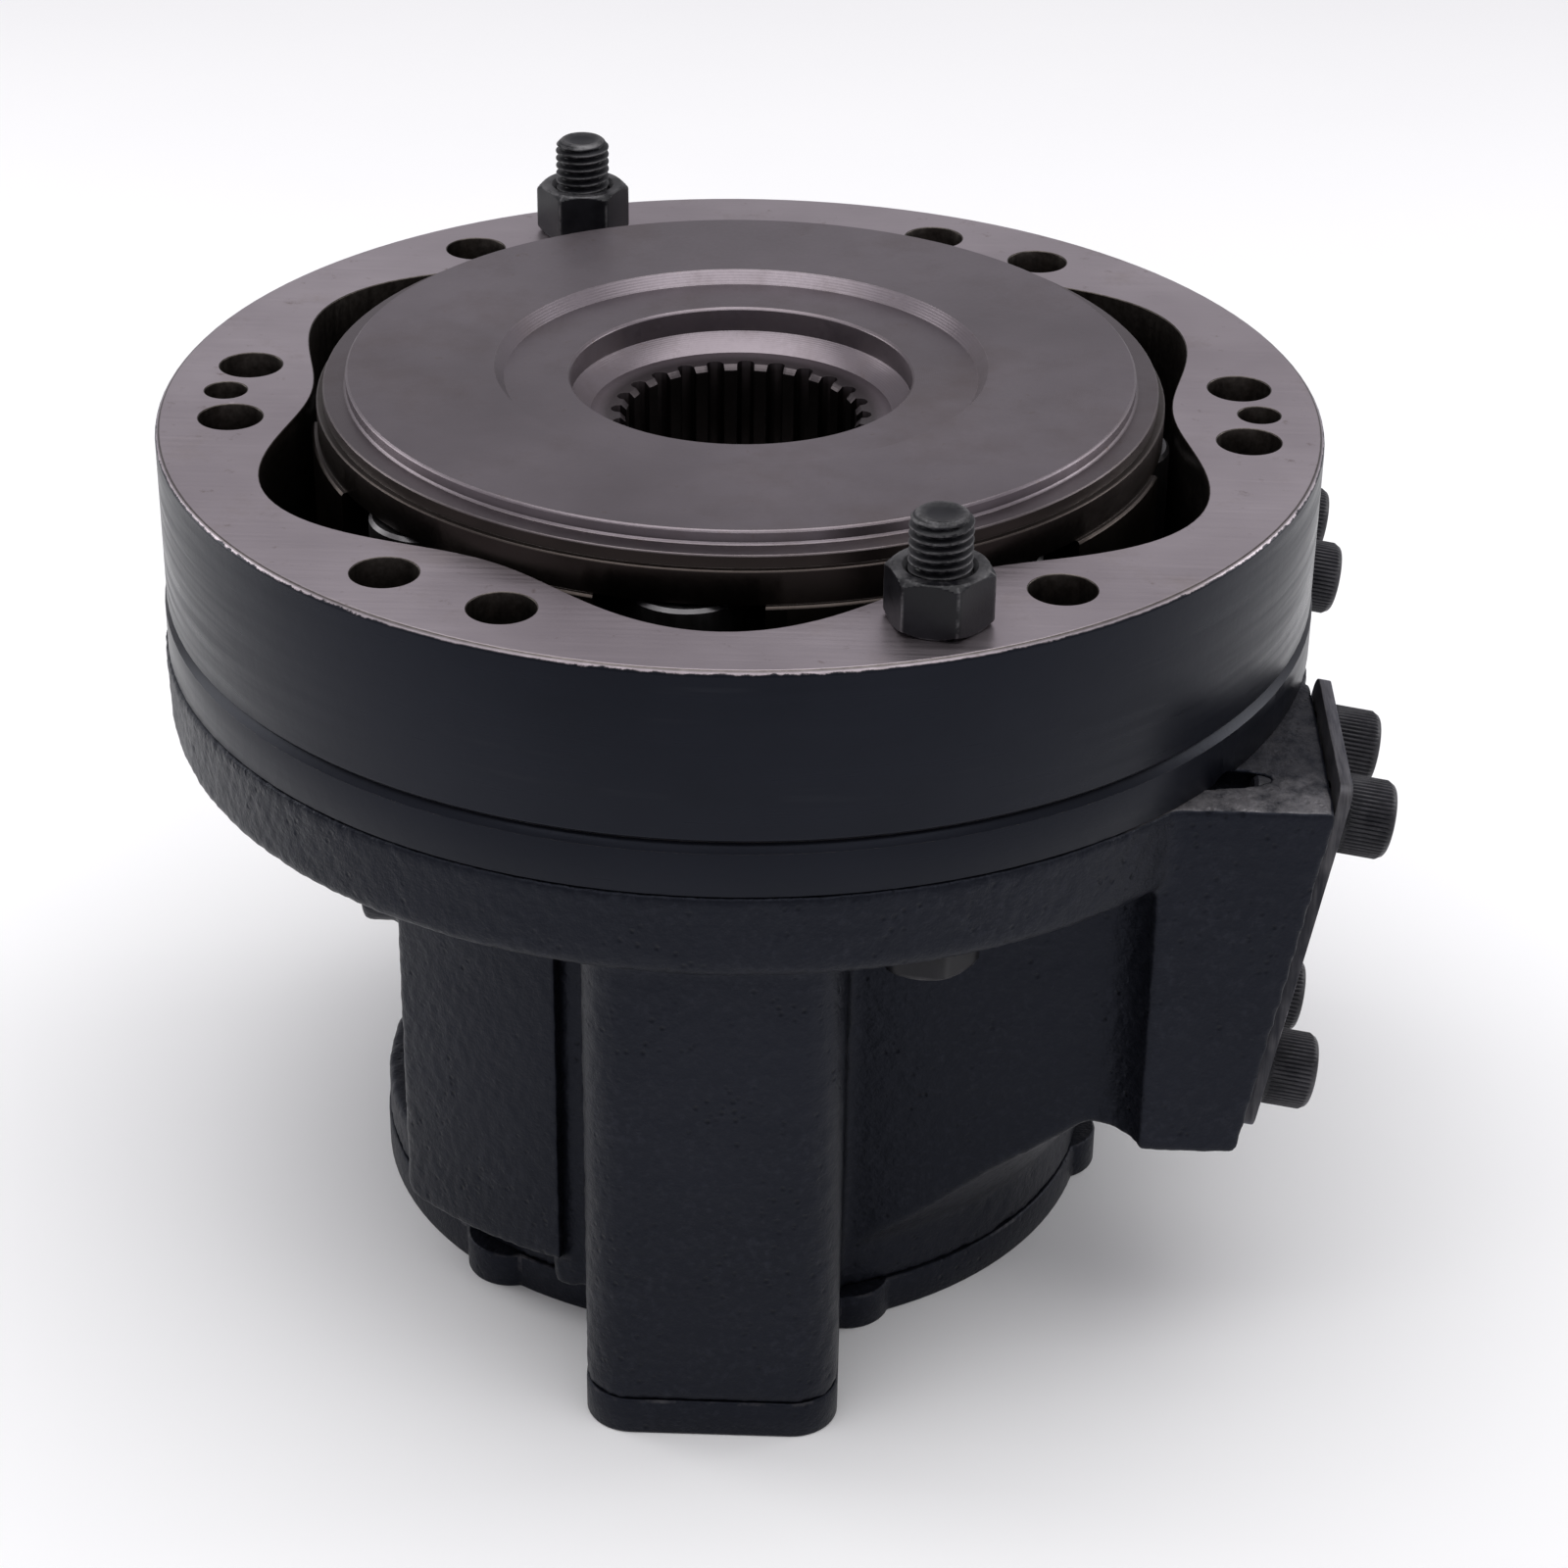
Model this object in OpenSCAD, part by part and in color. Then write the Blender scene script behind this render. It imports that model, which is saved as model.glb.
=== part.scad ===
// Radial-piston hydraulic drive motor with a six-lobe cam ring, eight pistons and a rear brake.
// Units are millimetres. The origin is the centre of the cam ring's mounting face, and +Z points
// out of that face, away from the casing. Levels below the face are negative.

/* [Cam ring] */
// Outer diameter of the cam ring
ring_d = 275; // [273:1:277]
// Height of the cam ring
ring_h = 41; // [40:0.5:42]
// Mean radius of the cam track
cam_mean_r = 110.5; // [110.3:0.1:110.7]
// Half of the piston stroke, which is the wave height of the cam track
cam_wave = 8.5; // [8:0.1:8.6]
// Diameter of the circle of fixing holes
bolt_pcd = 240; // [238:1:241]
// Diameter of the fixing holes
bolt_hole_d = 15; // [14.5:0.5:15]
// Angle between each fixing hole and the cam crest beside it
bolt_side_angle = 7.4; // [7:0.1:8]
// Distance between the two dowel holes
dowel_span = 245.2; // [244:0.2:246]

/* [Casing] */
// Diameter of the machined band under the cam ring
band_d = 276; // [275:1:277]
// Height of the machined band
band_h = 12.5; // [11:0.5:14]
// Diameter of the rough cast flange
flange_d = 277.6; // [277:0.2:279]
// Height of the rough cast flange
flange_h = 21.5; // [20:0.5:23]
// Radius of the round casing body
body_r = 84; // [84:0.5:86]
// Radius of the skirt round the casing's lower end
skirt_r = 90.4; // [90:0.2:91]
// Depth of the casing's lower face below the mounting face
casing_depth = 195.5; // [195:0.5:197]
// Thickness of the rear cover
cover_t = 9.5; // [9:0.5:11]

/* [Front block] */
// Width of the block that holds the two-speed spool
block_w = 59; // [57:1:61]
// Distance of the block's front face from the motor's axis
block_reach = 130.5; // [129:0.5:132]
// Radius of the block's upright edges
block_edge_r = 11; // [9:1:13]

/* [Port block] */
// Distance of the port face's upper edge from the motor's axis
port_face_x = 136.5; // [136:0.5:137]
// Lean of the port face, in degrees
port_lean = 9.8; // [9.6:0.1:10]
// Short bolt spacing of each port
port_bolt_y = 33; // [32.5:0.1:33]
// Long bolt spacing of each port
port_bolt_z = 69.5; // [69:0.1:69.7]
// Centre of the front port along Y
front_port_y = -63.3; // [-63.5:0.1:-63]
// Centre of the rear port along Y
rear_port_y = 60; // [59.5:0.1:60.2]

/* [Cylinder block] */
// Number of pistons
pistons = 8; // [8]
// Direction of the first piston, in degrees
first_piston = 264.6; // [264:0.1:265]
// Radius of the raised face
pad_r = 92.9; // [92:0.1:93.5]
// Height of the raised face above the mounting face
pad_h = 10.7; // [10:0.1:11]
// Number of spline teeth
spline_teeth = 24; // [24]

/* [Pistons and rollers] */
// Radius of each cylinder bore
bore_r = 16.8; // [16.5:0.1:16.9]
// Radius of each roller
roller_r = 14; // [13.8:0.1:14]
// Length of each roller
roller_len = 32; // [31:0.5:32.5]
// Distance of each roller's axis from the motor's axis with the pistons pushed in
roller_reach = 87.6; // [87.2:0.1:87.7]

/* [Hidden] */

// Fineness of round parts
$fn = 96;
// Extra reach of a cutting shape past the surface that it cuts
eps = 1;

// Colours
steel = "#8c868c";
dark_steel = "#5d5754";
paint = "#22252b";
oxide = "#2b2b2f";
rubber = "#1a1a1a";
bronze = "#8a6f3c";

// Levels along Z
ring_bottom = -ring_h;
band_bottom = ring_bottom - band_h;
flange_bottom = band_bottom - flange_h;
casing_bottom = -casing_depth;
cover_bottom = casing_bottom - cover_t;
recess_bottom = ring_bottom - 5;
rotor_bottom = ring_bottom - 3;
bore_z = -ring_h / 2;
skirt_top = casing_bottom + 12.5;

// Radii of the main parts
ring_r = ring_d / 2;
band_r = band_d / 2;
flange_r = flange_d / 2;
rotor_r = cam_mean_r - cam_wave - 0.8;
rim_r = rotor_r - 1.3;

// Cam track: its radius at an angle, and its outline
lobes = 6;
cam_step = 1.5;
function cam_r(a) = cam_mean_r - cam_wave * cos(lobes * a);
module cam_outline() {
    polygon([for (a = [0 : cam_step : 360 - cam_step]) cam_r(a) * [cos(a), sin(a)]]);
}

// Running clearance of a sliding or turning fit, and the gap between parts that don't touch
fit_gap = 0.05;
free_gap = 0.3;

// Distributor: the radius and the lower level of each of its lands
land_r = [72, 68, 64];
land_z = [-60, -78, -96];
web_top = -100;
web_bottom = -108;
shaft_hole_r = 44;

// Brake: bore radii, plate stack and piston levels
brake_bore_r = 72.3;
brake_wide_r = 76.3;
brake_step_z = -144;
plate_t = 2.5;
plate_pitch = 2.65;
plate_count = 9;
lug_w = 10;
lug_r = 75.4;
stack_top = web_bottom - 0.1;
brake_piston_top = stack_top - plate_count * plate_pitch;
brake_piston_bottom = brake_piston_top - 28;
spigot_top = casing_bottom + 10.5;

// Splines: slot or tooth width and the end radii
spline_root_r = 31;
spline_tip_r = 27.5;
spline_slot_w = 4.2;
hub_teeth = 24;
hub_root_r = 38;
hub_tip_r = 41;
hub_tooth_w = 4.6;

// Two-speed spool
spool_x = -0.5;
spool_y = -110;
spool_bore_r = 11;
spool_top = -100;
spool_bottom = -170;
spool_bore_top = -88;

// Drain boss on the casing's left side
drain_y = -55;
drain_z = -93;

// Rear cover screws: their circle's radius and their directions
cover_screw_r = 83.8;
cover_screw_angles = [51, 111, 231, 291, 351];
block_screw_x = 20;
block_screw_y = -118;
m8_r = 4;

// Fixing screws of the port plates: M12 socket head cap screws
m12_r = 6;
m12_core_r = 5;
m12_head_r = 9.1;
m12_head_h = 12;
m12_socket = 10;
m12_reach = 20;
m12_hole_depth = 30;
plate_y = 56;
plate_z = 93;
plate_corner_r = 4;
port_plate_t = 3;
port_centre_drop = 42.7;
port_bore_r = 15;
port_block_h = 92.5;
port_block_front = -95.6;
port_block_back = rear_port_y + 29.5;
front_wall_y = -84.5;
rear_wall_y = 82;

// Clamp bolts and nuts: M14 x 100
m14_r = 6.9;
m14_len = 100;
m14_head_af = 21;
m14_head_h = 8.8;
nut_h = 12.8;
front_nut_turn = 18.7;
rear_nut_turn = 34.8;

// ---- Shapes that repeat -------------------------------------------------------------------

// Upright cylinder between two levels
module post(r, z0, z1) {
    translate([0, 0, z0]) cylinder(r = r, h = z1 - z0);
}

// Upright ring between two levels
module collar(r_out, r_in, z0, z1) {
    difference() {
        post(r_out, z0, z1);
        post(r_in, z0 - eps, z1 + eps);
    }
}

// Straight drilling from one point to another
module drilling(from, to, r) {
    v = to - from;
    len = norm(v);
    translate(from) rotate([0, acos(v[2] / len), atan2(v[1], v[0])]) cylinder(r = r, h = len, $fn = 48);
}

// Rectangle with round corners, centred
module round_rect(x, y, r) {
    square([x - 2 * r, y], center = true);
    square([x, y - 2 * r], center = true);
    for (sx = [-1, 1], sy = [-1, 1])
        translate([sx * (x / 2 - r), sy * (y / 2 - r)]) circle(r = r, $fn = 48);
}

// Hexagon across flats
module hexagon(af) {
    circle(r = af / 2 / cos(30), $fn = 6);
}

// The fixing holes on one side of the cam crests: side is 1 or -1
module at_fixing_holes(side) {
    for (k = [0 : lobes - 1])
        rotate(360 / lobes * k + side * bolt_side_angle) translate([bolt_pcd / 2, 0, 0]) children();
}

// The two clamp bolts' places, with the turn of each nut
module at_clamp_bolts() {
    for (place = [[5, front_nut_turn], [2, rear_nut_turn]]) {
        a = 360 / lobes * place[0] - bolt_side_angle;
        translate([bolt_pcd / 2 * cos(a), bolt_pcd / 2 * sin(a), 0]) rotate(place[1]) children();
    }
}

// Frame of one piston: +X runs out along its bore
module at_piston(n) {
    rotate(first_piston + 360 / pistons * (n - 1)) translate([0, 0, bore_z]) children();
}

// Frame of the port face at one port: +Z points out of the face, +X runs up it
module at_port(y) {
    translate([port_face_x, y, band_bottom]) rotate([0, 90 + port_lean, 0])
        translate([port_centre_drop, 0, 0]) rotate(180) children();
}

// The four bolts of one port
module at_port_bolts() {
    for (sx = [-1, 1], sy = [-1, 1])
        translate([sx * port_bolt_z / 2, sy * port_bolt_y / 2, 0]) children();
}

// The screws that hold the rear cover
module at_cover_screws() {
    for (a = cover_screw_angles) rotate(a) translate([cover_screw_r, 0, 0]) children();
    for (s = [-1, 1])
        translate([s * block_screw_x + spool_x, block_screw_y, 0]) children();
}

// Outline of the front block, seen from above
module block_outline() {
    translate([spool_x, -(block_reach + 60) / 2]) round_rect(block_w, block_reach - 60, block_edge_r);
}

// Ring of slots for an inner spline, as one outline
function slot_points(root_r, tip_r, w) = concat(
    [[sqrt(tip_r * tip_r - w * w / 4), -w / 2]],
    [for (t = [-90 : 30 : 90]) [root_r - w / 2 + w / 2 * cos(t), w / 2 * sin(t)]],
    [[sqrt(tip_r * tip_r - w * w / 4), w / 2]]
);
function turned(points, a) = [for (p = points) [p[0] * cos(a) - p[1] * sin(a), p[0] * sin(a) + p[1] * cos(a)]];
module spline_outline(teeth, root_r, tip_r, w) {
    polygon([for (i = [0 : teeth - 1]) each turned(slot_points(root_r, tip_r, w), 360 / teeth * i)]);
}

// Ring of teeth for an outer spline, as one outline
function tooth_points(root_r, tip_r, w) = [
    [sqrt(root_r * root_r - w * w / 4), -w / 2],
    [tip_r, -w / 2 + 0.4],
    [tip_r, w / 2 - 0.4],
    [sqrt(root_r * root_r - w * w / 4), w / 2]
];
module toothed_outline(teeth, root_r, tip_r, w) {
    polygon([for (i = [0 : teeth - 1]) each turned(tooth_points(root_r, tip_r, w), 360 / teeth * i)]);
}

// Helical wire of a round spring, standing on z = 0
module coil(mean_r, wire_r, turns, height) {
    sides = 8;
    per_turn = 16;
    rings = turns * per_turn;
    rise = (height - 2 * wire_r) / rings;
    points = [for (i = [0 : rings], j = [0 : sides - 1])
        let (a = 360 / per_turn * i, b = 360 / sides * j, r = mean_r + wire_r * cos(b))
        [r * cos(a), r * sin(a), wire_r + rise * i + wire_r * sin(b)]];
    skin = [for (i = [0 : rings - 1], j = [0 : sides - 1])
        let (k = (j + 1) % sides)
        [i * sides + j, (i + 1) * sides + j, (i + 1) * sides + k, i * sides + k]];
    start = [[for (j = [0 : sides - 1]) j]];
    end = [[for (j = [sides - 1 : -1 : 0]) rings * sides + j]];
    polyhedron(points, concat(skin, start, end));
}

// ---- Cam ring and what clamps it ----------------------------------------------------------

module cam_ring() {
    edge = 1;
    color(steel) difference() {
        rotate_extrude() polygon([
            [cam_mean_r - 2 * cam_wave, ring_bottom],
            [ring_r - edge, ring_bottom],
            [ring_r, ring_bottom + edge],
            [ring_r, -edge],
            [ring_r - edge, 0],
            [cam_mean_r - 2 * cam_wave, 0]
        ]);
        translate([0, 0, ring_bottom - eps]) linear_extrude(ring_h + 2 * eps) cam_outline();
        for (side = [-1, 1]) at_fixing_holes(side) post(bolt_hole_d / 2, ring_bottom - eps, eps);
        for (s = [-1, 1]) translate([s * dowel_span / 2, 0, 0]) post(5, ring_bottom - eps, eps);
        at_locating_pins() post(5 + fit_gap, ring_bottom - eps, ring_bottom + 12.5);
    }
}

// Two pins hold the cam ring square on the casing; they lie between the fixing holes
module at_locating_pins() {
    for (a = [120, 300]) rotate(a) translate([bolt_pcd / 2 + 4, 0, 0]) children();
}

module locating_pins() {
    color(steel) at_locating_pins() post(5, ring_bottom - 12, ring_bottom + 12);
}

module ring_seal() {
    color(rubber) collar(132.3, 129.7, ring_bottom - 2.3, ring_bottom - 0.1);
}

module clamp_bolts() {
    color(oxide) at_clamp_bolts() {
        translate([0, 0, flange_bottom - m14_head_h]) linear_extrude(m14_head_h) hexagon(m14_head_af);
        post(m14_r, flange_bottom - 0.01, flange_bottom + m14_len - 1.5);
        translate([0, 0, flange_bottom + m14_len - 1.5]) cylinder(r1 = m14_r, r2 = m14_r - 1.5, h = 1.5);
    }
}

module clamp_nuts() {
    color(oxide) at_clamp_bolts() difference() {
        intersection() {
            linear_extrude(nut_h) hexagon(m14_head_af);
            union() {
                cylinder(r1 = 10.4, r2 = 13.4, h = 2);
                post(13.4, 2, nut_h - 2);
                translate([0, 0, nut_h - 2]) cylinder(r1 = 13.4, r2 = 10.4, h = 2);
            }
        }
        post(m14_r + fit_gap, -eps, nut_h + eps);
    }
}

// ---- Casing ---------------------------------------------------------------------------------

// Flange: a machined band over a rough cast rim with a rounded lower edge
module flange_solid() {
    rotate_extrude() polygon(concat(
        [[40, ring_bottom], [band_r - 2, ring_bottom], [band_r, ring_bottom - 2], [band_r, band_bottom]],
        [[flange_r - 0.3, band_bottom], [flange_r, band_bottom - 0.6]],
        [for (t = [0 : 22.5 : 90]) [flange_r - 4.4 + 4 * cos(t), flange_bottom + 4 - 4 * sin(t)]],
        [[40, flange_bottom]]
    ));
}

// Block that carries both ports, 2 mm proud of its leaning face, and the gap between the two ports
module port_block_solid() {
    foot_x = port_face_x - port_block_h * tan(port_lean);
    difference() {
        translate([0, port_block_back, band_bottom]) rotate([90, 0, 0])
            linear_extrude(port_block_back - port_block_front) polygon([
                [50, 0],
                [port_face_x + 2, 0],
                [foot_x + 2, -port_block_h],
                [84, -port_block_h],
                [50, -port_block_h + 12]
            ]);
        translate([0, 0, -200]) linear_extrude(200 + flange_bottom + 0.02) {
            wall_hollow(front_wall_y, -1);
            wall_hollow(rear_wall_y, 1);
        }
        translate([135, (front_port_y + rear_port_y) / 2, -200]) linear_extrude(200 + band_bottom + 1)
            round_rect(80, rear_port_y - front_port_y - 59, 10);
    }
}

// Space outside a wall, seen from above, with a round inner corner at the port block
module wall_hollow(wall_y, side) {
    corner_x = 85;
    corner_r = 12.5;
    translate([50 - eps, side > 0 ? wall_y : wall_y - 40]) square([corner_x - 50 + eps, 40]);
    translate([corner_x, wall_y + side * corner_r]) circle(r = corner_r);
}

// Wall that joins the round body to the port block. Its lower end flares out from the skirt
module flared_wall() {
    intersection() {
        rotate_extrude() polygon([
            [20, -190],
            [skirt_r - 0.4, -190],
            [skirt_r - 0.4, -183],
            [98, -171],
            [105, -161],
            [119, -146.5],
            [127, -141],
            [127, flange_bottom + eps],
            [20, flange_bottom + eps]
        ]);
        translate([20, front_wall_y, -191]) cube([77, 64, 120]);
    }
}

module casing_solid() {
    flange_solid();
    post(body_r, casing_bottom, flange_bottom + eps);
    post(skirt_r, casing_bottom, skirt_top);
    flared_wall();
    // Front block
    translate([0, 0, casing_bottom]) linear_extrude(flange_bottom - casing_bottom + eps) block_outline();
    // Front wing, a wall left of the front block
    intersection() {
        post(106, -180, flange_bottom + eps);
        translate([-77, -110, -181]) cube([40, 100, 110]);
    }
    // Web between the wing and the front block, with a narrow slot at its lower end
    difference() {
        intersection() {
            post(102, -190, flange_bottom + eps);
            translate([-40, -104, -191]) cube([14, 90, 120]);
        }
        translate([-33, -110, -200]) cube([1.6, 30, 42]);
    }
    // Rear wing
    intersection() {
        post(100, -168, flange_bottom + eps);
        translate([-77, 20, -169]) cube([60, 85, 98]);
    }
    // Rear boss for the brake port
    translate([0, 84, -156]) linear_extrude(156 + flange_bottom + eps) round_rect(46, 40, 8);
    // Drain boss on the left side
    translate([-86, drain_y, drain_z]) rotate([0, 90, 0]) cylinder(r = 17, h = 40);
    port_block_solid();
}

module valve_casing() {
    color(paint) difference() {
        casing_solid();
        // Chamber under the cylinder block, then the distributor's stepped bore
        post(104, recess_bottom, ring_bottom + eps);
        post(land_r[0] + fit_gap, land_z[0], recess_bottom + eps);
        post(land_r[1] + fit_gap, land_z[1], land_z[0] + eps);
        post(land_r[2] + fit_gap, web_top, land_z[1] + eps);
        post(shaft_hole_r, web_bottom - eps, web_top + eps);
        // Supply grooves round the distributor
        post(land_r[1] + 6, -69, -62);
        post(land_r[2] + 6, -87, -80);
        // Brake bore with the slots that hold the steel plates' lugs
        post(brake_bore_r, brake_step_z - eps, web_bottom);
        post(brake_wide_r, casing_bottom - eps, brake_step_z);
        for (a = [0 : 90 : 270]) rotate(a)
            translate([60, -lug_w / 2 - 0.3, brake_step_z - eps])
                cube([lug_r + 0.4 - 60, lug_w + 0.6, web_bottom - brake_step_z + eps]);
        // Pin holes for the distributor
        at_distributor_pins() post(3 + fit_gap, -108.5, web_top + eps);
        // Face groove of the ring seal
        collar(132.5, 129.5, ring_bottom - 2.4, ring_bottom + eps);
        // Fixing holes, dowel holes and locating pins
        for (side = [-1, 1]) at_fixing_holes(side) post(bolt_hole_d / 2, flange_bottom - eps, ring_bottom + eps);
        at_locating_pins() post(5 + fit_gap, ring_bottom - 12.5, ring_bottom + eps);
        // Spool bore and its pilot port in the block's left side
        translate([spool_x, spool_y, 0]) post(spool_bore_r, casing_bottom - eps, spool_bore_top);
        drilling([-45, spool_y, -94], [-18, spool_y, -94], 6.25);
        drilling([-19, spool_y, -94], [spool_x, spool_y, -94], 2.5);
        // Spool passages to the supply grooves
        drilling([spool_x, spool_y, -118], [spool_x, -68, -84], 3.5);
        drilling([spool_x, spool_y, -100], [spool_x, -70, -66], 3.5);
        // Tapped holes of the rear cover
        at_cover_screws() post(m8_r + fit_gap, casing_bottom - eps, casing_bottom + 11.5);
        // Drain port and its way into the casing
        drilling([-87, drain_y, drain_z], [-70, drain_y, drain_z], 10.25);
        drilling([-71, drain_y, drain_z], [-40, -26, -97], 5);
        // Brake port
        drilling([0, 105, -143], [0, 89, -143], 7.25);
        drilling([0, 90, -143], [0, 70, -143], 2.5);
        // Seat milled flat across both ports
        at_port(0) translate([-60, -120, 0]) cube([61 + plate_z / 2, 240, 20]);
        // Ports: bore, seal groove, tapped holes and the drillings to the distributor
        for (y = [front_port_y, rear_port_y]) at_port(y) {
            translate([0, 0, -58]) cylinder(r = port_bore_r, h = 60);
            difference() {
                translate([0, 0, -2.4]) cylinder(r = 22.6, h = 4);
                translate([0, 0, -3]) cylinder(r = 18.4, h = 5);
            }
            at_port_bolts() translate([0, 0, -m12_hole_depth])
                cylinder(r = m12_core_r + fit_gap, h = m12_hole_depth + 2);
        }
        drilling([76, front_port_y, -84], [44, -46, -66], 7);
        drilling([76, rear_port_y, -84], [48, 38, -84], 7);
    }
}

// ---- Cylinder block, pistons and rollers ---------------------------------------------------

module cylinder_block() {
    slot_w = 37.6;
    slot_top = -3.5;
    color(dark_steel) difference() {
        rotate_extrude($fn = 180) polygon([
            [20, rotor_bottom],
            [rotor_r - 1, rotor_bottom],
            [rotor_r, rotor_bottom + 1],
            [rotor_r, slot_top - 0.5],
            [rotor_r - 0.5, slot_top],
            [rim_r, slot_top],
            [rim_r, 4.2],
            [rim_r - 0.3, 4.5],
            [rim_r - 1.6, 4.5],
            [rim_r - 1.6, 7.2],
            [rim_r - 1.9, 7.5],
            [pad_r + 0.5, 7.5],
            [pad_r, 8],
            [pad_r, pad_h - 0.5],
            [pad_r - 0.5, pad_h],
            [58.2, pad_h],
            [55.9, pad_h - 3.1],
            [41, pad_h - 3.1],
            [40.4, pad_h - 3.7],
            [40.4, 1.6],
            [35.9, -2.3],
            [20, -2.3]
        ]);
        translate([0, 0, rotor_bottom - eps]) linear_extrude(-rotor_bottom)
            spline_outline(spline_teeth, spline_root_r, spline_tip_r, spline_slot_w);
        translate([0, 0, -3.6]) cylinder(r1 = spline_tip_r - 0.1, r2 = spline_tip_r + 1.3, h = 1.4);
        for (n = [1 : pistons]) at_piston(n) {
            translate([52, 0, 0]) rotate([0, 90, 0]) cylinder(r = bore_r, h = 60);
            translate([73, -slot_w / 2, -17]) cube([40, slot_w, 17 + slot_top - bore_z]);
            translate([58, 0, rotor_bottom - bore_z - eps]) cylinder(r = 5, h = 12);
        }
    }
}

module piston(n) {
    inner_end = 56;
    crown_start = roller_reach + 0.3;
    crown_h = 9.5;
    crown_r = 11.4;
    r = bore_r - fit_gap;
    color(steel) at_piston(n) difference() {
        rotate([0, 90, 0]) union() {
            translate([0, 0, inner_end]) cylinder(r1 = r - 0.8, r2 = r, h = 0.8);
            post(r, inner_end + 0.8, crown_start);
            translate([0, 0, crown_start]) cylinder(r1 = r, r2 = crown_r, h = crown_h);
        }
        translate([roller_reach, 0, -25]) cylinder(r = roller_r + fit_gap, h = 50);
        translate([inner_end + 3, 0, 0]) rotate([0, 90, 0]) difference() {
            cylinder(r = r + eps, h = 2.6);
            translate([0, 0, -eps]) cylinder(r = r - 2.4, h = 5);
        }
        translate([inner_end - eps, 0, 0]) rotate([0, 90, 0]) cylinder(r = 1.5, h = 30, $fn = 32);
    }
}

module piston_ring(n) {
    r = bore_r - 0.02;
    color(oxide) at_piston(n) translate([59.1, 0, 0]) rotate([0, 90, 0]) difference() {
        cylinder(r = r, h = 2.4);
        translate([0, 0, -eps]) cylinder(r = r - 2.3, h = 5);
        translate([10, -0.4, -eps]) cube([10, 0.8, 5]);
    }
}

module roller(n) {
    half = roller_len / 2;
    edge = 0.8;
    color(steel) at_piston(n) translate([roller_reach, 0, 0]) rotate_extrude() polygon([
        [0, -half],
        [roller_r - edge, -half],
        [roller_r, -half + edge],
        [roller_r, half - edge],
        [roller_r - edge, half],
        [0, half]
    ]);
}

// ---- Distributor ----------------------------------------------------------------------------

module distributor() {
    face = rotor_bottom - 0.1;
    port_ring_r = 58;
    hole_r = 4;
    color(bronze) difference() {
        union() {
            post(land_r[0], land_z[0], face);
            post(land_r[1], land_z[1], land_z[0] + 0.02);
            post(land_r[2], land_z[2], land_z[1] + 0.02);
        }
        post(36, land_z[2] - eps, face + eps);
        // Grooves that feed alternate ports, and the seals' grooves
        collar(land_r[1] + eps, 55, -69, -62);
        collar(land_r[2] + eps, 55, -87, -80);
        collar(land_r[0] + eps, land_r[0] - 3, -57, -53.8);
        collar(land_r[1] + eps, land_r[1] - 3, -75.2, -72);
        collar(land_r[2] + eps, land_r[2] - 3, -93.2, -90);
        for (k = [0 : lobes - 1]) {
            rotate(60 * k + 15) translate([port_ring_r, 0, 0]) post(hole_r, -66, face + eps);
            rotate(60 * k + 45) translate([port_ring_r, 0, 0]) post(hole_r, -84, face + eps);
        }
        at_distributor_pins() post(3 + fit_gap, land_z[2] - eps, land_z[2] + 8);
    }
}

module at_distributor_pins() {
    for (a = [0, 180]) rotate(a) translate([48, 0, 0]) children();
}

module distributor_pins() {
    color(steel) at_distributor_pins() post(3, -107.8, land_z[2] + 7.5);
}

module distributor_seals() {
    color(rubber) {
        collar(land_r[0] + 0.03, land_r[0] - 2.9, -56.9, -53.9);
        collar(land_r[1] + 0.03, land_r[1] - 2.9, -75.1, -72.1);
        collar(land_r[2] + 0.03, land_r[2] - 2.9, -93.1, -90.1);
    }
}

// Conical spring washer that presses the distributor against the cylinder block
module distributor_spring() {
    color(dark_steel) rotate_extrude() polygon([
        [52.5, web_top + 2.3],
        [62.5, web_top + 0.2],
        [62.5, web_top + 1.6],
        [52.5, web_top + 3.8]
    ]);
}

// ---- Brake ----------------------------------------------------------------------------------

module brake_shaft() {
    color(steel) difference() {
        union() {
            translate([0, 0, -60]) linear_extrude(27)
                toothed_outline(spline_teeth, spline_tip_r - free_gap, spline_root_r - 0.9, spline_slot_w - 0.4);
            post(26, -106, -59);
            translate([0, 0, -134]) linear_extrude(29)
                toothed_outline(hub_teeth, hub_root_r, hub_tip_r, hub_tooth_w);
        }
        post(9, -135, -32);
    }
}

// Friction plates turn with the shaft; their places in the stack are the odd ones
module brake_friction_plates() {
    color(bronze) for (i = [1 : 2 : plate_count - 2])
        translate([0, 0, stack_top - i * plate_pitch - plate_t]) linear_extrude(plate_t) difference() {
            circle(r = 69);
            toothed_outline(hub_teeth, hub_root_r + free_gap, hub_tip_r + free_gap, hub_tooth_w + 0.6);
        }
}

module brake_steel_plates() {
    color(dark_steel) for (i = [0 : 2 : plate_count - 1])
        translate([0, 0, stack_top - i * plate_pitch - plate_t]) linear_extrude(plate_t) difference() {
            union() {
                circle(r = brake_bore_r - 0.6);
                for (a = [0, 90]) rotate(a) square([2 * lug_r, lug_w], center = true);
            }
            circle(r = 46);
        }
}

module brake_piston() {
    step = brake_step_z + 0.5;
    wide_top = brake_step_z - 1;
    color(steel) difference() {
        union() {
            post(brake_bore_r - fit_gap, wide_top - 0.02, brake_piston_top);
            post(brake_wide_r - fit_gap, brake_piston_bottom, wide_top);
        }
        post(50, brake_piston_bottom - eps, brake_piston_top + eps);
        collar(brake_bore_r + eps, brake_bore_r - 3.2, -140.2, -137);
        collar(brake_wide_r + eps, brake_wide_r - 3.2, -154.2, -151);
    }
}

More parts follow.
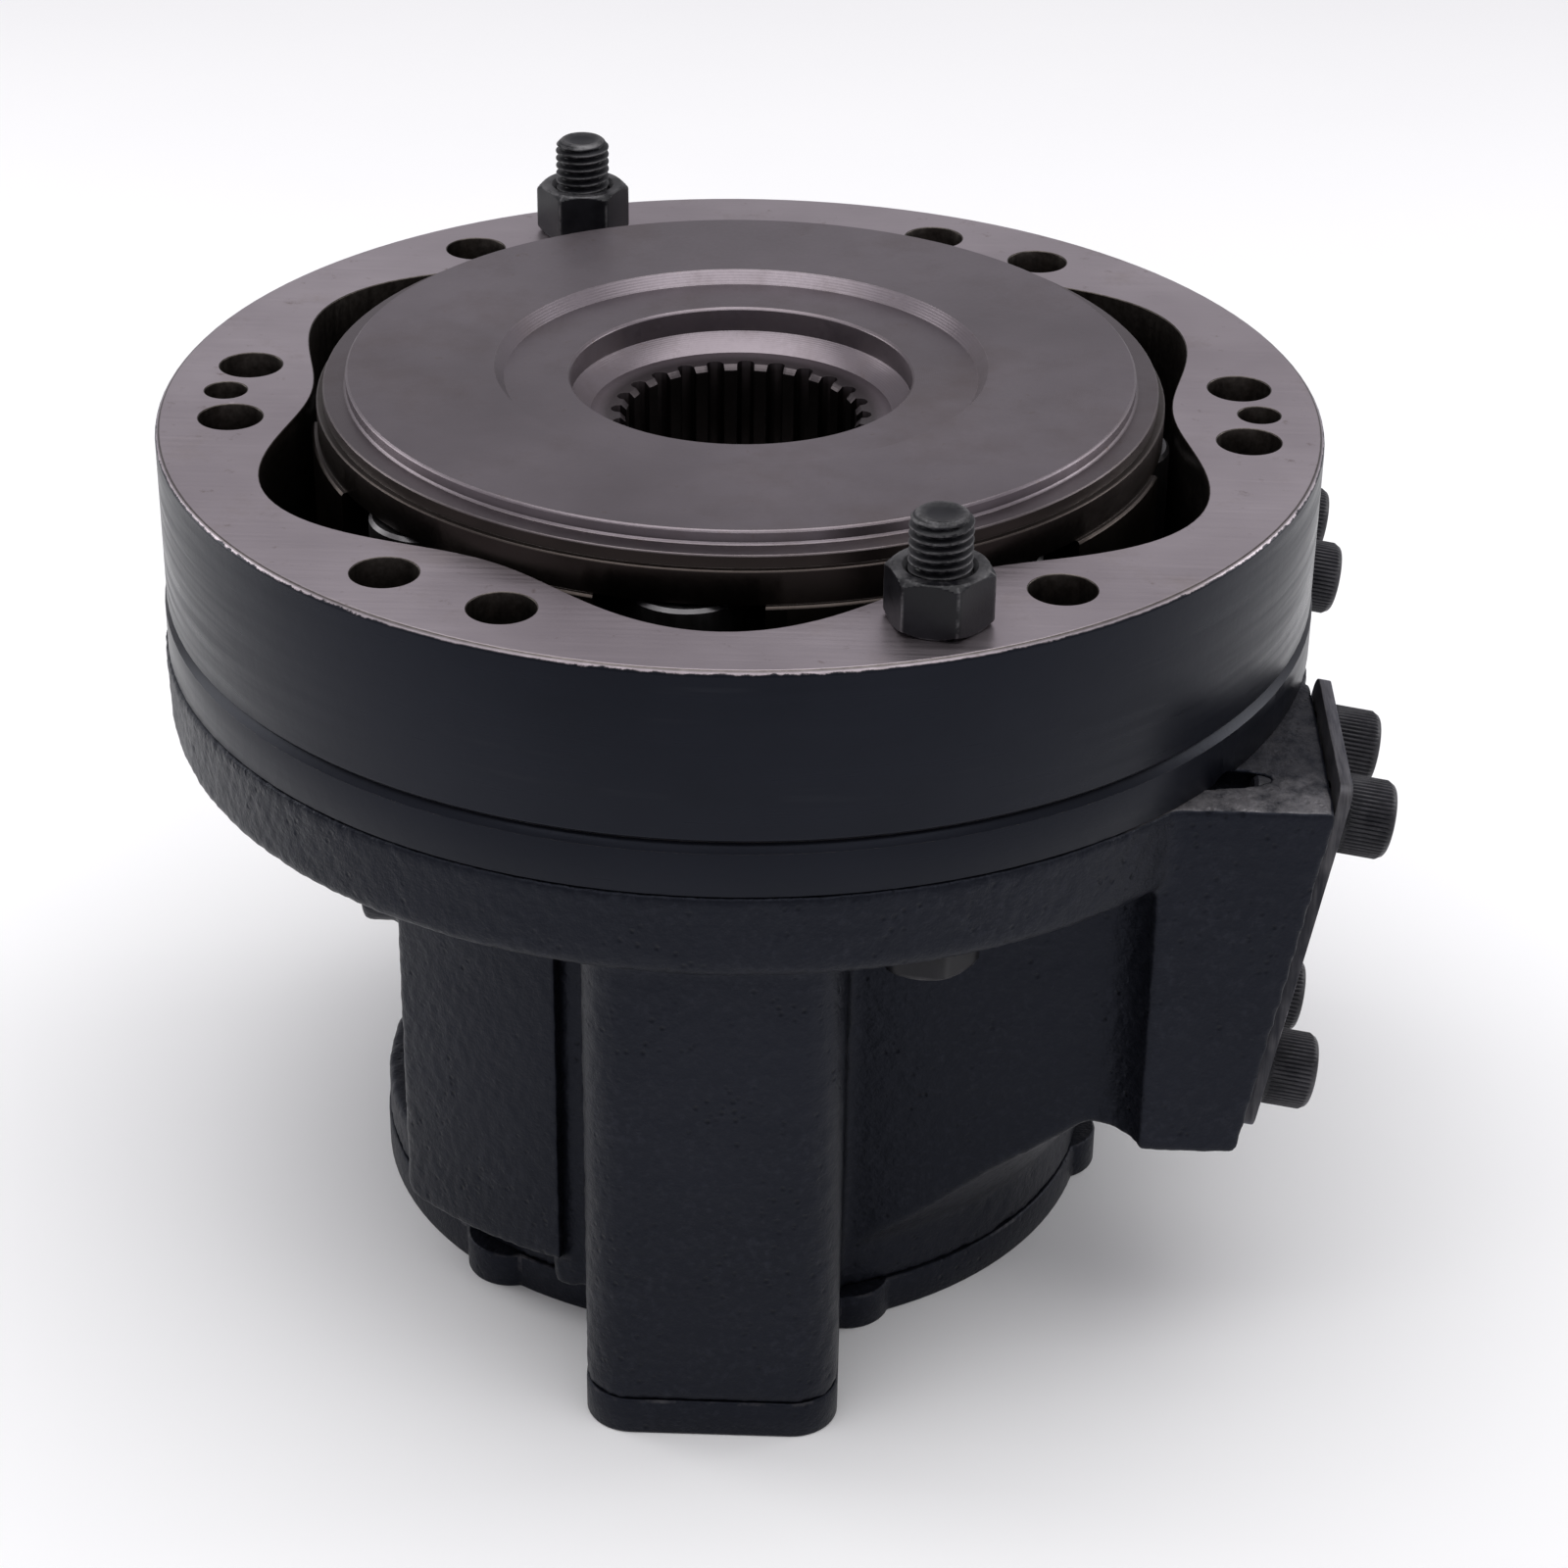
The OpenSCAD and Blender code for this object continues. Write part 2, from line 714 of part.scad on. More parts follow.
module brake_piston_seals() {
    color(rubber) {
        collar(brake_bore_r - 0.02, brake_bore_r - 3, -140.1, -137.1);
        collar(brake_wide_r - 0.02, brake_wide_r - 3, -154.1, -151.1);
    }
}

// Stack of conical spring washers between the brake piston and the rear cover
module brake_springs() {
    count = 4;
    room = brake_piston_bottom - spigot_top - 0.4;
    rise = room / count;
    washer_t = 4;
    color(dark_steel) for (i = [0 : count - 1]) {
        z = spigot_top + 0.2 + rise * i;
        outer = (i % 2 == 0) ? rise - washer_t - 0.1 : 0;
        inner = (i % 2 == 0) ? 0 : rise - washer_t - 0.1;
        rotate_extrude() polygon([
            [54, z + inner],
            [72, z + outer],
            [72, z + outer + washer_t],
            [54, z + inner + washer_t]
        ]);
    }
}

// ---- Two-speed spool ------------------------------------------------------------------------

module spool() {
    neck_r = 7;
    r = spool_bore_r - fit_gap;
    color(steel) translate([spool_x, spool_y, 0]) difference() {
        union() {
            post(r, spool_bottom, spool_top);
            post(5, spool_top - 0.02, spool_bore_top - 0.2);
        }
        for (z = [-124, -148]) collar(r + eps, neck_r, z - 6, z + 6);
        for (z = [-107, -112, -136]) collar(r + eps, r - 0.6, z - 0.5, z + 0.5);
        post(4, spool_bottom - eps, spool_bottom + 12);
    }
}

module spool_spring() {
    height = spool_bottom - casing_bottom - 0.4;
    color(steel) translate([spool_x, spool_y, casing_bottom + 0.2]) coil(8, 1.1, 6, height);
}

module spool_cover_seal() {
    color(rubber) translate([spool_x, spool_y, 0]) collar(15.2, 12.8, casing_bottom - 1.6, casing_bottom - 0.05);
}

// ---- Rear cover -----------------------------------------------------------------------------

module rear_cover() {
    color(paint) difference() {
        union() {
            translate([0, 0, cover_bottom]) linear_extrude(cover_t) {
                circle(r = skirt_r + 0.3);
                block_outline();
                for (a = cover_screw_angles) rotate(a) translate([cover_screw_r, 0]) circle(r = 11);
            }
            post(brake_wide_r - free_gap, casing_bottom - 0.02, spigot_top);
        }
        post(40, casing_bottom + 0.5, spigot_top + eps);
        collar(brake_wide_r + eps, brake_wide_r - 3.3, spigot_top - 6.2, spigot_top - 3);
        translate([spool_x, spool_y, 0]) collar(15.4, 12.6, casing_bottom - 1.7, casing_bottom + eps);
        at_cover_screws() {
            post(m8_r + 0.4, cover_bottom - eps, casing_bottom + eps);
            translate([0, 0, cover_bottom - 0.01]) cylinder(r1 = 8.3, r2 = m8_r + 0.4, h = 4.4);
        }
    }
}

module rear_cover_seal() {
    color(rubber) collar(brake_wide_r - 0.05, brake_wide_r - 3.1, spigot_top - 6.1, spigot_top - 3.1);
}

module rear_cover_screws() {
    head_h = 4.2;
    color(oxide) at_cover_screws() difference() {
        union() {
            translate([0, 0, cover_bottom + 0.15]) cylinder(r1 = 8, r2 = m8_r, h = head_h);
            post(m8_r, cover_bottom + head_h, casing_bottom + 10.5);
        }
        translate([0, 0, cover_bottom - eps]) linear_extrude(3.6) hexagon(5);
    }
}

// ---- Port plates ----------------------------------------------------------------------------

module port_plate(y) {
    color(paint) at_port(y) linear_extrude(port_plate_t) difference() {
        round_rect(plate_z, plate_y, plate_corner_r);
        at_port_bolts() circle(r = m12_r + 0.5);
    }
}

module port_seal(y) {
    color(rubber) at_port(y) translate([0, 0, -2.3]) difference() {
        cylinder(r = 22.4, h = 2.25);
        translate([0, 0, -eps]) cylinder(r = 18.6, h = 5);
    }
}

module port_screws(y) {
    color(oxide) at_port(y) at_port_bolts() translate([0, 0, port_plate_t + 0.02]) difference() {
        union() {
            cylinder(r = m12_head_r, h = m12_head_h - 1.2);
            translate([0, 0, m12_head_h - 1.2]) cylinder(r1 = m12_head_r, r2 = m12_head_r - 1.2, h = 1.2);
            translate([0, 0, -m12_reach]) cylinder(r = m12_core_r, h = m12_reach + 0.01);
        }
        translate([0, 0, m12_head_h - 6]) linear_extrude(7) hexagon(m12_socket);
    }
}

cam_ring();
valve_casing();
ring_seal();
locating_pins();
clamp_bolts();
clamp_nuts();
cylinder_block();
piston(1);  // piston_1
piston(2);  // piston_2
piston(3);  // piston_3
piston(4);  // piston_4
piston(5);  // piston_5
piston(6);  // piston_6
piston(7);  // piston_7
piston(8);  // piston_8
roller(1);  // roller_1
roller(2);  // roller_2
roller(3);  // roller_3
roller(4);  // roller_4
roller(5);  // roller_5
roller(6);  // roller_6
roller(7);  // roller_7
roller(8);  // roller_8
piston_ring(1);  // piston_ring_1
piston_ring(2);  // piston_ring_2
piston_ring(3);  // piston_ring_3
piston_ring(4);  // piston_ring_4
piston_ring(5);  // piston_ring_5
piston_ring(6);  // piston_ring_6
piston_ring(7);  // piston_ring_7
piston_ring(8);  // piston_ring_8
distributor();
distributor_seals();
distributor_pins();
distributor_spring();
brake_shaft();
brake_friction_plates();
brake_steel_plates();
brake_piston();
brake_piston_seals();
brake_springs();
spool();
spool_spring();
spool_cover_seal();
rear_cover();
rear_cover_seal();
rear_cover_screws();
port_plate(front_port_y);  // front_port_plate
port_plate(rear_port_y);  // rear_port_plate
port_seal(front_port_y);  // front_port_seal
port_seal(rear_port_y);  // rear_port_seal
port_screws(front_port_y);  // front_port_screws
port_screws(rear_port_y);  // rear_port_screws
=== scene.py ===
"""Looks of a radial-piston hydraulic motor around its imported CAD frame.

Lengths are metres in the CAD frame: the origin is the centre of the cam ring's mounting face and
+Z points out of it. Profiles are written in millimetres and scaled when their mesh is made.
"""

import math

import bmesh
import bpy
import numpy as np
from mathutils import Matrix, Vector


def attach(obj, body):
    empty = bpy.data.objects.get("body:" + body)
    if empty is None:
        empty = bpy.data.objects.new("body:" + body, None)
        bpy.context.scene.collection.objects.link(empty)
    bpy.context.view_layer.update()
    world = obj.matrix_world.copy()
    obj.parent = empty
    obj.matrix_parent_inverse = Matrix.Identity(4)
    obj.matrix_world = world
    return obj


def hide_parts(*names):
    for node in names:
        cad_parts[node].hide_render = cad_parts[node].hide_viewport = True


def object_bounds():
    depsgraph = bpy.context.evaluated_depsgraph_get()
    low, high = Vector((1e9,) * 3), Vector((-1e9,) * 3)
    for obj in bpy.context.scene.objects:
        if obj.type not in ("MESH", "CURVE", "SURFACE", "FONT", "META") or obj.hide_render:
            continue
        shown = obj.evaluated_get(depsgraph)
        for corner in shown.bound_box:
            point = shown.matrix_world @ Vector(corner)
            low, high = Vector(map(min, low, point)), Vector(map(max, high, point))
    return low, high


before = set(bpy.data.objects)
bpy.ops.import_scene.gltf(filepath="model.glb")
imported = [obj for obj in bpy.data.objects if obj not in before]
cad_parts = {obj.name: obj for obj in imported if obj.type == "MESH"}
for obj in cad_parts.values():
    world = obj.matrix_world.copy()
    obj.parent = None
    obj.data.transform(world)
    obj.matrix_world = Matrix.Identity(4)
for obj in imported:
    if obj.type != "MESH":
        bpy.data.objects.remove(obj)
cad_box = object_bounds()

MM = 0.001
TAU = 2 * math.pi

# Levels and places that the CAD fixes, in millimetres
BOLT_TOP = 25.0
BOLT_CIRCLE_R = 120.0
BAND_BOTTOM = -53.5
FLANGE_BOTTOM = -75.0
PORT_EDGE_X = 136.5
PORT_DROP = 42.7
FRONT_PORT_Y = -63.3
REAR_PORT_Y = 60.0
PORT_BOLTS = (69.5, 33.0)
PORT_LEAN = math.radians(9.8)

# The casing is cut into its machined band and its casting just off the band's lower level
CUT_ABOVE = 0.02
CUT_BELOW = 0.05


# ---- Node helpers -----------------------------------------------------------------------------

class Graph:
    """Short calls for the nodes of one material. A socket or a plain value may be given."""

    def __init__(self, name):
        self.material = bpy.data.materials.new(name)
        self.material.use_nodes = True
        self.tree = self.material.node_tree
        self.shader = self.tree.nodes["Principled BSDF"]
        coords = self.tree.nodes.new("ShaderNodeTexCoord")
        self.position = coords.outputs["Object"]
        self.normal = coords.outputs["Normal"]

    def put(self, socket, value):
        if isinstance(value, bpy.types.NodeSocket):
            self.tree.links.new(value, socket)
        elif socket.type == "RGBA" and len(value) == 3:
            socket.default_value = (*value, 1.0)
        else:
            socket.default_value = value

    def set(self, name, value):
        self.put(self.shader.inputs[name], value)

    def math(self, operation, a, b=0.0):
        node = self.tree.nodes.new("ShaderNodeMath")
        node.operation = operation
        self.put(node.inputs[0], a)
        self.put(node.inputs[1], b)
        return node.outputs[0]

    def add(self, a, b):
        return self.math("ADD", a, b)

    def sub(self, a, b):
        return self.math("SUBTRACT", a, b)

    def mul(self, a, b):
        return self.math("MULTIPLY", a, b)

    def span(self, value, low, high, to_low=0.0, to_high=1.0):
        node = self.tree.nodes.new("ShaderNodeMapRange")
        node.clamp = True
        self.put(node.inputs["Value"], value)
        node.inputs["From Min"].default_value = low
        node.inputs["From Max"].default_value = high
        node.inputs["To Min"].default_value = to_low
        node.inputs["To Max"].default_value = to_high
        return node.outputs["Result"]

    def split(self, vector):
        node = self.tree.nodes.new("ShaderNodeSeparateXYZ")
        self.put(node.inputs[0], vector)
        return node.outputs

    def join(self, x, y, z):
        node = self.tree.nodes.new("ShaderNodeCombineXYZ")
        for socket, value in zip(node.inputs, (x, y, z)):
            self.put(socket, value)
        return node.outputs[0]

    def noise(self, scale, detail=4.0, roughness=0.55, vector=None):
        node = self.tree.nodes.new("ShaderNodeTexNoise")
        self.put(node.inputs["Vector"], vector or self.position)
        node.inputs["Scale"].default_value = scale
        node.inputs["Detail"].default_value = detail
        node.inputs["Roughness"].default_value = roughness
        return node.outputs["Fac"]

    def cells(self, scale, vector=None):
        node = self.tree.nodes.new("ShaderNodeTexVoronoi")
        self.put(node.inputs["Vector"], vector or self.position)
        node.inputs["Scale"].default_value = scale
        return node.outputs["Distance"]

    def mix(self, factor, a, b):
        node = self.tree.nodes.new("ShaderNodeMix")
        node.data_type = "RGBA"
        self.put(node.inputs[0], factor)
        self.put(node.inputs[6], a)
        self.put(node.inputs[7], b)
        return node.outputs[2]

    def blend(self, factor, a, b):
        node = self.tree.nodes.new("ShaderNodeMix")
        node.data_type = "FLOAT"
        self.put(node.inputs[0], factor)
        self.put(node.inputs[2], a)
        self.put(node.inputs[3], b)
        return node.outputs[0]

    def bump(self, height, strength, distance, after=None):
        node = self.tree.nodes.new("ShaderNodeBump")
        node.inputs["Strength"].default_value = strength
        node.inputs["Distance"].default_value = distance
        self.put(node.inputs["Height"], height)
        if after is not None:
            self.put(node.inputs["Normal"], after)
        return node.outputs[0]

    def attribute(self, name):
        node = self.tree.nodes.new("ShaderNodeAttribute")
        node.attribute_name = name
        return node.outputs["Fac"]

    def radius(self):
        x, y, _ = self.split(self.position)
        return self.math("SQRT", self.add(self.mul(x, x), self.mul(y, y)))


# ---- Materials --------------------------------------------------------------------------------

PAINT = (0.0040, 0.0045, 0.0066)
PAINT_LIGHT = (0.0080, 0.0088, 0.0125)
# Lit colour of the casting's lumps: a painted highlight
PAINT_LUMP_HIGHLIGHT = (0.0180, 0.0190, 0.0250)
PAINT_GLOSS = (0.72, 0.78, 1.0)
RUST = (0.115, 0.072, 0.045)
OXIDE = (0.0058, 0.0058, 0.0074)


def turned_rings(g, pitch, wobble=0.0):
    """Height of concentric tool marks round the motor's axis."""
    r = g.add(g.radius(), g.mul(g.noise(9.0, 2.0), wobble))
    fine = g.math("SINE", g.mul(r, TAU / pitch))
    coarse = g.noise(1.0, 3.0, 0.7, g.join(g.mul(r, 900.0), 0.0, 0.0))
    return g.add(g.mul(fine, 0.3), coarse)


def cast_paint():
    """Semi-gloss paint over a rough sand casting: fine pits with painted shade, lumps with painted
    highlights, and a half-bare top on the port block.
    """
    g = Graph("cast_paint")
    x, y, z = g.split(g.position)
    _, _, nz = g.split(g.normal)
    broad = g.noise(16.0, 3.0)
    lumps = g.noise(520.0, 4.0, 0.65)
    grain = g.noise(1500.0, 2.0, 0.5)
    pits = g.span(g.cells(360.0), 0.0, 0.30)
    sparse = g.span(g.noise(80.0, 2.0), 0.46, 0.60)
    holes = g.sub(1.0, g.mul(g.sub(1.0, pits), sparse))
    height = g.add(g.add(g.mul(lumps, 1.0), g.mul(grain, 0.25)), g.mul(holes, 0.9))
    colour = g.mix(g.span(broad, 0.35, 0.7), PAINT, PAINT_LIGHT)
    # Painted highlight: the tops of the lumps are lightened in colour, standing in for light caught on the
    # bumps
    lump_highlight = g.mul(g.span(lumps, 0.50, 0.72), g.span(g.noise(45.0, 2.0), 0.35, 0.65, 0.35, 1.0))
    colour = g.mix(g.mul(lump_highlight, 0.8), colour, PAINT_LUMP_HIGHLIGHT)
    edge = g.mul(g.attribute("edge"), g.span(g.noise(140.0, 4.0, 0.7), 0.5, 0.68))
    colour = g.mix(g.mul(edge, 0.5), colour, (0.09, 0.085, 0.085))
    # Painted shade: the pits are darkened in colour as well as dented by the bump
    colour = g.mix(g.mul(g.sub(1.0, holes), 0.85), colour, (0.0015, 0.0015, 0.002))
    upward = g.span(nz, 0.85, 0.95)
    block_top = g.mul(g.mul(upward, g.span(x, 0.088, 0.092)), g.span(z, -0.0550, -0.0545))
    rubbed = g.span(g.noise(150.0, 5.0, 0.7), 0.32, 0.72)
    near_edge = g.span(g.add(y, g.mul(rubbed, -0.006)), -0.080, -0.093)
    metal = g.mul(block_top, g.add(g.mul(rubbed, 0.16), g.mul(g.mul(near_edge, rubbed), 0.7)))
    g.set("Base Color", g.mix(metal, colour, (0.26, 0.248, 0.255)))
    g.set("Metallic", g.mul(metal, 0.8))
    rough = g.span(g.add(g.mul(broad, 0.6), g.mul(lumps, 0.4)), 0.35, 0.65, 0.30, 0.50)
    g.set("Roughness", rough)
    g.set("Specular IOR Level", 0.17)
    g.set("Specular Tint", PAINT_GLOSS)
    g.set("Normal", g.bump(height, 0.6, 0.0005))
    return g.material


def smooth_paint(name, worn_from, worn_to, worn_colour):
    """Satin paint on turned steel, whose rounded edges are chipped to metal."""
    g = Graph(name)
    x, y, z = g.split(g.position)
    broad = g.noise(11.0, 3.0)
    fine = g.noise(700.0, 3.0, 0.6)
    streak = g.noise(1.0, 4.0, 0.6, g.join(g.mul(x, 14.0), g.mul(y, 14.0), g.mul(z, 420.0)))
    colour = g.mix(g.span(broad, 0.35, 0.65), PAINT, PAINT_LIGHT)
    scuff = g.mul(g.span(streak, 0.60, 0.72), g.span(broad, 0.45, 0.7))
    colour = g.mix(g.mul(scuff, 0.25), colour, (0.05, 0.052, 0.058))
    chips = g.span(g.noise(260.0, 5.0, 0.72), worn_from, worn_to)
    wear = g.mul(g.attribute("edge"), chips)
    g.set("Base Color", g.mix(wear, colour, worn_colour))
    g.set("Metallic", g.mul(wear, 0.9))
    rough = g.span(g.add(g.mul(broad, 0.5), g.mul(streak, 0.5)), 0.35, 0.65, 0.27, 0.40)
    g.set("Roughness", rough)
    height = g.add(g.mul(fine, 0.5), g.add(g.mul(streak, 0.3), g.mul(g.noise(190.0, 2.0), 0.9)))
    g.set("Specular IOR Level", 0.17)
    g.set("Specular Tint", PAINT_GLOSS)
    g.set("Normal", g.bump(height, 0.14, 0.0003))
    return g.material


def plate_finish():
    """Port cover plates: painted face, sawn bare edges with scratches and a few stains."""
    g = Graph("plate_finish")
    x, y, z = g.split(g.position)
    nx, _, nz = g.split(g.normal)
    facing = g.sub(g.mul(nx, math.cos(PORT_LEAN)), g.mul(nz, math.sin(PORT_LEAN)))
    broad = g.noise(30.0, 4.0, 0.6)
    scratch = g.noise(1.0, 4.0, 0.7, g.join(g.mul(x, 900.0), g.mul(y, 60.0), g.mul(z, 60.0)))
    edge = g.mul(g.span(facing, 0.75, 0.55), g.span(broad, 0.35, 0.60, 0.15, 0.55))
    bare = g.mix(g.span(scratch, 0.35, 0.65), (0.09, 0.085, 0.09), (0.26, 0.25, 0.255))
    paint = g.mix(g.span(broad, 0.35, 0.65), PAINT, PAINT_LIGHT)
    rim = g.mul(g.attribute("edge"), g.span(g.noise(300.0, 4.0, 0.7), 0.48, 0.6))
    bare_part = g.math("MAXIMUM", edge, g.mul(rim, 0.7))
    g.set("Base Color", g.mix(bare_part, paint, bare))
    g.set("Metallic", g.mul(bare_part, 0.9))
    g.set("Roughness", g.span(g.add(broad, g.mul(scratch, 0.5)), 0.4, 1.0, 0.28, 0.48))
    g.set("Specular IOR Level", 0.17)
    g.set("Specular Tint", PAINT_GLOSS)
    g.set("Normal", g.bump(g.add(scratch, g.noise(500.0)), 0.15, 0.0002))
    return g.material


def ring_finish():
    """Cam ring: painted outside, milled bare top face, ground cam track and hole walls in painted shade,
    chipped outer edge.
    """
    g = Graph("ring_finish")
    x, y, z = g.split(g.position)
    r = g.radius()
    _, _, nz = g.split(g.normal)
    broad = g.noise(9.0, 4.0, 0.6)
    fine = g.noise(620.0, 4.0, 0.6)
    lay = g.noise(1.0, 4.0, 0.6, g.join(g.mul(x, 26.0), g.mul(y, 900.0), 0.0))
    stain = g.span(g.noise(38.0, 5.0, 0.68), 0.56, 0.74)
    spots = g.span(g.noise(170.0, 4.0, 0.75), 0.62, 0.74)

    # Milled face
    bare = g.mix(g.span(broad, 0.3, 0.7), (0.335, 0.290, 0.315), (0.480, 0.430, 0.460))
    bare = g.mix(g.mul(stain, 0.42), bare, (0.17, 0.135, 0.115))
    bare = g.mix(g.mul(spots, 0.55), bare, RUST)
    # Ground track and hole walls: steel painted almost black, a painted shade
    painted_shade_track = g.mix(g.span(fine, 0.35, 0.7), (0.055, 0.047, 0.042), (0.10, 0.088, 0.08))
    # Painted wall
    streak = g.noise(1.0, 4.0, 0.6, g.join(g.mul(x, 16.0), g.mul(y, 16.0), g.mul(z, 380.0)))
    paint = g.mix(g.span(broad, 0.35, 0.65), PAINT, PAINT_LIGHT)
    scuff = g.mul(g.span(streak, 0.58, 0.72), g.span(g.noise(24.0), 0.5, 0.7))
    paint = g.mix(g.mul(scuff, 0.2), paint, (0.05, 0.052, 0.058))

    patchy = g.span(g.noise(30.0, 3.0), 0.42, 0.62, 0.0004, 0.0022)
    ragged = g.mul(g.sub(g.noise(300.0, 5.0, 0.75), 0.5), patchy)
    outside = g.span(r, 0.1366, 0.1370)
    top = g.span(g.add(z, ragged), -0.00085, -0.0006)
    face = g.math("MAXIMUM", g.span(nz, 0.9, 0.97), g.mul(outside, top))
    wall = g.mul(outside, g.sub(1.0, face))
    metal = g.sub(1.0, wall)
    colour = g.mix(face, painted_shade_track, bare)
    g.set("Base Color", g.mix(wall, colour, paint))
    g.set("Metallic", metal)
    worn = g.span(g.add(g.mul(lay, 0.5), g.mul(broad, 0.5)), 0.35, 0.65, 0.30, 0.46)
    worn = g.add(worn, g.mul(stain, 0.12))
    g.set("Roughness", g.blend(wall, worn, g.span(streak, 0.35, 0.65, 0.26, 0.40)))
    height = g.add(g.mul(lay, 0.6), g.mul(fine, 0.5))
    wall_height = g.add(g.mul(g.noise(210.0, 3.0), 0.9), g.add(g.mul(streak, 0.2), g.mul(fine, 0.4)))
    g.set("Specular IOR Level", 0.17)
    g.set("Specular Tint", g.mix(wall, (1.0, 1.0, 1.0), PAINT_GLOSS))
    g.set("Normal", g.bump(g.blend(wall, height, wall_height), 0.15, 0.0003))
    return g.material


def turned_steel():
    """Cylinder block: turned faces, brown-grey, oily, with painted shade on the outer rim below the ledge,
    low down in the ring and in the bore.
    """
    g = Graph("turned_steel")
    _, _, z = g.split(g.position)
    r = g.radius()
    broad = g.noise(13.0, 4.0, 0.6)
    fine = g.noise(900.0, 3.0, 0.6)
    rings = turned_rings(g, 0.00042, 0.0006)
    stain = g.span(g.noise(30.0, 5.0, 0.65), 0.5, 0.75)
    spots = g.span(g.noise(210.0, 4.0, 0.75), 0.64, 0.74)
    colour = g.mix(g.span(broad, 0.3, 0.7), (0.155, 0.133, 0.146), (0.228, 0.200, 0.220))
    colour = g.mix(g.mul(stain, 0.5), colour, (0.110, 0.087, 0.083))
    colour = g.mix(g.mul(spots, 0.4), colour, RUST)
    # Painted shade: the rotor's outer wall below the ledge, in the gap to the cam ring, is painted near
    # black
    rim = g.mul(g.span(z, 0.0078, 0.0070), g.span(r, 0.0905, 0.0915))
    colour = g.mix(g.mul(rim, 0.92), colour, (0.040, 0.032, 0.027))
    # Painted shade: the block is darkened low down, where it sits sunk in the cam ring
    low_shade = g.mul(g.span(z, -0.0030, -0.0045), 0.6)
    colour = g.mix(low_shade, colour, (0.05, 0.042, 0.036))
    rubbed = g.span(g.noise(180.0, 4.0, 0.7), 0.36, 0.60, 0.15, 1.0)
    wear = g.mul(g.mul(g.attribute("edge"), rubbed), g.span(r, 0.034, 0.038))
    colour = g.mix(g.mul(wear, g.span(z, 0.0040, 0.0080, 0.25, 0.6)), colour, (0.42, 0.38, 0.37))
    # Painted shade: the spline bore and counterbore are darkened in colour
    bore_shade = g.span(r, 0.034, 0.0315)
    colour = g.mix(g.mul(bore_shade, 0.7), colour, (0.030, 0.026, 0.025))
    g.set("Base Color", colour)
    g.set("Metallic", 1.0)
    rough = g.span(g.add(g.mul(broad, 0.6), g.mul(fine, 0.4)), 0.35, 0.65, 0.30, 0.42)
    g.set("Roughness", g.add(rough, g.mul(stain, 0.10)))
    height = g.add(g.mul(rings, 0.7), g.mul(fine, 0.35))
    g.set("Normal", g.bump(height, 0.12, 0.00022))
    return g.material


def black_oxide(name, base=OXIDE, bright=(0.20, 0.195, 0.20)):
    """Blackened steel with rubbed edges. Each mesh brings its own "edge" attribute."""
    g = Graph(name)
    fine = g.noise(1300.0, 4.0, 0.6)
    blotch = g.noise(120.0, 4.0, 0.6)
    colour = g.mix(g.span(blotch, 0.35, 0.7), base, tuple(2.1 * c for c in base))
    wear = g.mul(g.attribute("edge"), g.span(g.add(blotch, g.mul(fine, 0.4)), 0.55, 0.85))
    g.set("Base Color", g.mix(wear, colour, bright))
    g.set("Specular IOR Level", 0.22)
    g.set("Metallic", g.add(0.1, g.mul(wear, 0.7)))
    g.set("Roughness", g.span(blotch, 0.3, 0.7, 0.30, 0.50))
    g.set("Normal", g.bump(g.add(fine, blotch), 0.15, 0.00015))
    return g.material


def steel(name, colour, low=0.22, high=0.4, scale=600.0, lay=(1.0, 1.0, 1.0), dirt=0.35):
    """Machined or ground steel with a directional lay and patches of oil."""
    g = Graph(name)
    x, y, z = g.split(g.position)
    grain = g.noise(1.0, 4.0, 0.6, g.join(*(g.mul(c, scale * k) for c, k in zip((x, y, z), lay))))
    patch = g.noise(60.0, 4.0, 0.6)
    dark = tuple(0.45 * c for c in colour)
    base = g.mix(g.span(grain, 0.3, 0.7), tuple(0.8 * c for c in colour), colour)
    g.set("Base Color", g.mix(g.mul(g.span(patch, 0.5, 0.75), dirt), base, dark))
    g.set("Metallic", 1.0)
    g.set("Roughness", g.span(g.add(g.mul(grain, 0.6), g.mul(patch, 0.4)), 0.35, 0.65, low, high))
    g.set("Normal", g.bump(grain, 0.08, 0.0001))
    return g.material


def rubber():
    g = Graph("seal_rubber")
    fine = g.noise(900.0, 3.0, 0.6)
    patch = g.noise(80.0, 3.0)
    g.set("Base Color", g.mix(g.span(patch, 0.3, 0.7), (0.012, 0.012, 0.012), (0.024, 0.023, 0.022)))
    g.set("Roughness", g.span(patch, 0.3, 0.7, 0.45, 0.65))
    g.set("Normal", g.bump(fine, 0.2, 0.0001))
    return g.material


CAST = cast_paint()
BAND_PAINT = smooth_paint("band_paint", 0.40, 0.52, (0.34, 0.30, 0.25))
PLATE = plate_finish()
RING = ring_finish()
BLOCK = turned_steel()
NUT_OXIDE = black_oxide("nut_oxide")
SCREW_OXIDE = black_oxide("screw_oxide", (0.0130, 0.0130, 0.0158), (0.13, 0.125, 0.13))
ROLLER_STEEL = steel("roller_steel", (0.16, 0.155, 0.16), 0.30, 0.45, 700.0, (1.0, 1.0, 0.1), 0.35)
PISTON_STEEL = steel("piston_steel", (0.20, 0.185, 0.175), 0.25, 0.42, 500.0)
MACHINED = steel("machined_steel", (0.34, 0.33, 0.32), 0.22, 0.4, 500.0, (1.0, 1.0, 0.2))
SPRING_STEEL = steel("spring_steel", (0.16, 0.155, 0.16), 0.3, 0.45)
LAPPED_IRON = steel("lapped_iron", (0.24, 0.22, 0.205), 0.2, 0.35, 300.0)
BRONZE = steel("friction_bronze", (0.42, 0.30, 0.17), 0.4, 0.6, 900.0)
RUBBER = rubber()


